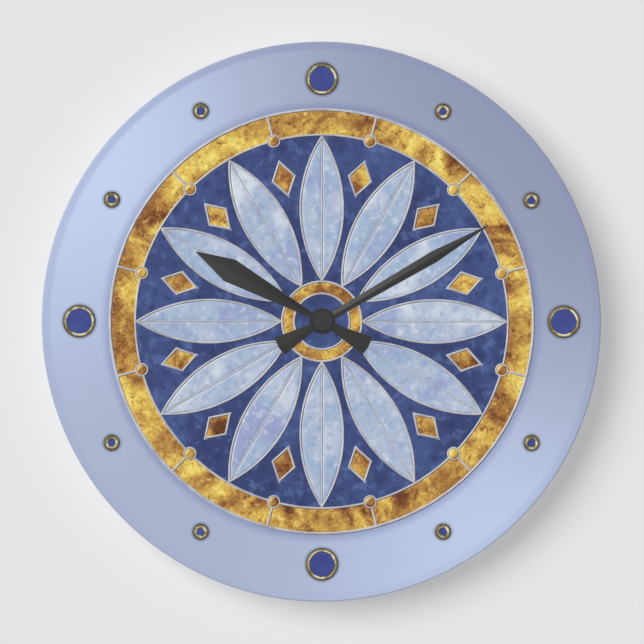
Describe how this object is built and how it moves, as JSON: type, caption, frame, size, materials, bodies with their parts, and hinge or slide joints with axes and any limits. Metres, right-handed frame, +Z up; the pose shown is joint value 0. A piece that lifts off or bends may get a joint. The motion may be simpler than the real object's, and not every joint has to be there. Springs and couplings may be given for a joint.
{
  "type": "wall clock",
  "caption": "Round wall clock: printed acrylic dial on a quartz movement with an hour hand, a minute hand and a keyhole hanger.",
  "frame": {"origin": "on the hands' axis, in the rear face of the movement's cover, which rests on the wall", "axes": "+Z up towards 12 on the dial, +Y into the wall, -Y out of the dial towards the viewer, +X towards 3 on the dial"},
  "size_m": [0.273, 0.0316, 0.273],
  "materials": {
    "clear_acrylic": "polished",
    "print_periwinkle": "satin print",
    "print_deep_blue": "satin print",
    "print_pale_blue": "satin print",
    "print_gold": "satin print",
    "print_silver": "satin print",
    "hand_black": "matte",
    "zinc_steel": "zinc plated",
    "brass": "turned",
    "black_rubber": "matte",
    "case_black": "moulded",
    "bridge_grey": "moulded",
    "gear_white": "moulded",
    "motor_iron": "rolled",
    "magnet_grey": "sintered",
    "copper_wire": "enamelled",
    "board_green": "lacquered",
    "chip_resin": "cast",
    "bright_tin": "bright",
    "battery_metal": "bright",
    "battery_jacket": "printed film"
  },
  "bodies": {
    "clock_body": {"dial_disc": "clear_acrylic", "dial_print_ground": "print_periwinkle", "dial_print_field": "print_deep_blue", "dial_print_petals": "print_pale_blue", "dial_print_gold": "print_gold", "dial_print_outlines": "print_silver", "hour_marker_rings": "print_gold", "hour_marker_centres": "print_deep_blue", "hanger_bracket": "zinc_steel", "rubber_gasket": "black_rubber", "dial_washer": "zinc_steel", "dial_nut": "brass", "threaded_bushing": "brass", "movement_case": "case_black", "movement_back_cover": "case_black", "train_bridge": "bridge_grey", "movement_screws": "zinc_steel", "stator_plate": "motor_iron", "coil_core": "motor_iron", "coil_bobbin": "bridge_grey", "coil_winding": "copper_wire", "circuit_board": "board_green", "control_chip": "chip_resin", "quartz_crystal": "bright_tin", "battery_contact_positive": "bright_tin", "battery_contact_negative": "bright_tin"},
    "minute_hand_set": {"minute_arbor": "brass", "clutch_washer": "zinc_steel", "minute_hand": "hand_black", "cap_nut": "hand_black"},
    "hour_hand_set": {"hour_wheel": "gear_white", "hour_hand": "hand_black"},
    "setting_shaft": {"motion_wheel": "gear_white", "setting_knob": "case_black"},
    "rotor": {"rotor_magnet": "magnet_grey", "rotor_pinion": "gear_white"},
    "intermediate": {"intermediate_wheel": "gear_white"},
    "seconds": {"seconds_wheel": "gear_white"},
    "third": {"third_wheel": "gear_white"},
    "centre": {"centre_wheel": "gear_white"},
    "battery": {"battery_cell": "battery_metal", "battery_sleeve": "battery_jacket"}
  },
  "joints": [
    {"name": "minute_hand_turn", "type": "hinge", "parent": "clock_body", "child": "minute_hand_set", "pos_m": [0, 0, 0], "axis": [0, 1, 0], "continuous": true},
    {"name": "hour_hand_turn", "type": "hinge", "parent": "clock_body", "child": "hour_hand_set", "pos_m": [0, 0, 0], "axis": [0, 1, 0], "continuous": true},
    {"name": "setting_knob_turn", "type": "hinge", "parent": "clock_body", "child": "setting_shaft", "pos_m": [0.01083, 0, 0.00191], "axis": [0, 1, 0], "continuous": true},
    {"name": "rotor_turn", "type": "hinge", "parent": "clock_body", "child": "rotor", "pos_m": [0.00799, 0, 0.01643], "axis": [0, 1, 0], "continuous": true},
    {"name": "intermediate_wheel_turn", "type": "hinge", "parent": "clock_body", "child": "intermediate", "pos_m": [0.00181, 0, 0.01024], "axis": [0, 1, 0], "continuous": true},
    {"name": "seconds_wheel_turn", "type": "hinge", "parent": "clock_body", "child": "seconds", "pos_m": [0, 0, 0], "axis": [0, 1, 0], "continuous": true},
    {"name": "third_wheel_turn", "type": "hinge", "parent": "clock_body", "child": "third", "pos_m": [-0.00883, 0, 0.0051], "axis": [0, 1, 0], "continuous": true},
    {"name": "centre_wheel_turn", "type": "hinge", "parent": "clock_body", "child": "centre", "pos_m": [0, 0, 0], "axis": [0, 1, 0], "continuous": true},
    {"name": "battery_slide", "type": "slide", "parent": "clock_body", "child": "battery", "axis": [0, 1, 0], "range_m": [0, 0.02]}
  ],
  "couplings": [
    {"joint": "hour_hand_turn", "follows": "minute_hand_turn", "ratio": 0.083333},
    {"joint": "setting_knob_turn", "follows": "minute_hand_turn", "ratio": -0.33333},
    {"joint": "intermediate_wheel_turn", "follows": "rotor_turn", "ratio": -0.16667},
    {"joint": "seconds_wheel_turn", "follows": "rotor_turn", "ratio": 0.033333},
    {"joint": "third_wheel_turn", "follows": "rotor_turn", "ratio": -0.0044444},
    {"joint": "centre_wheel_turn", "follows": "rotor_turn", "ratio": 0.00055556}
  ]
}
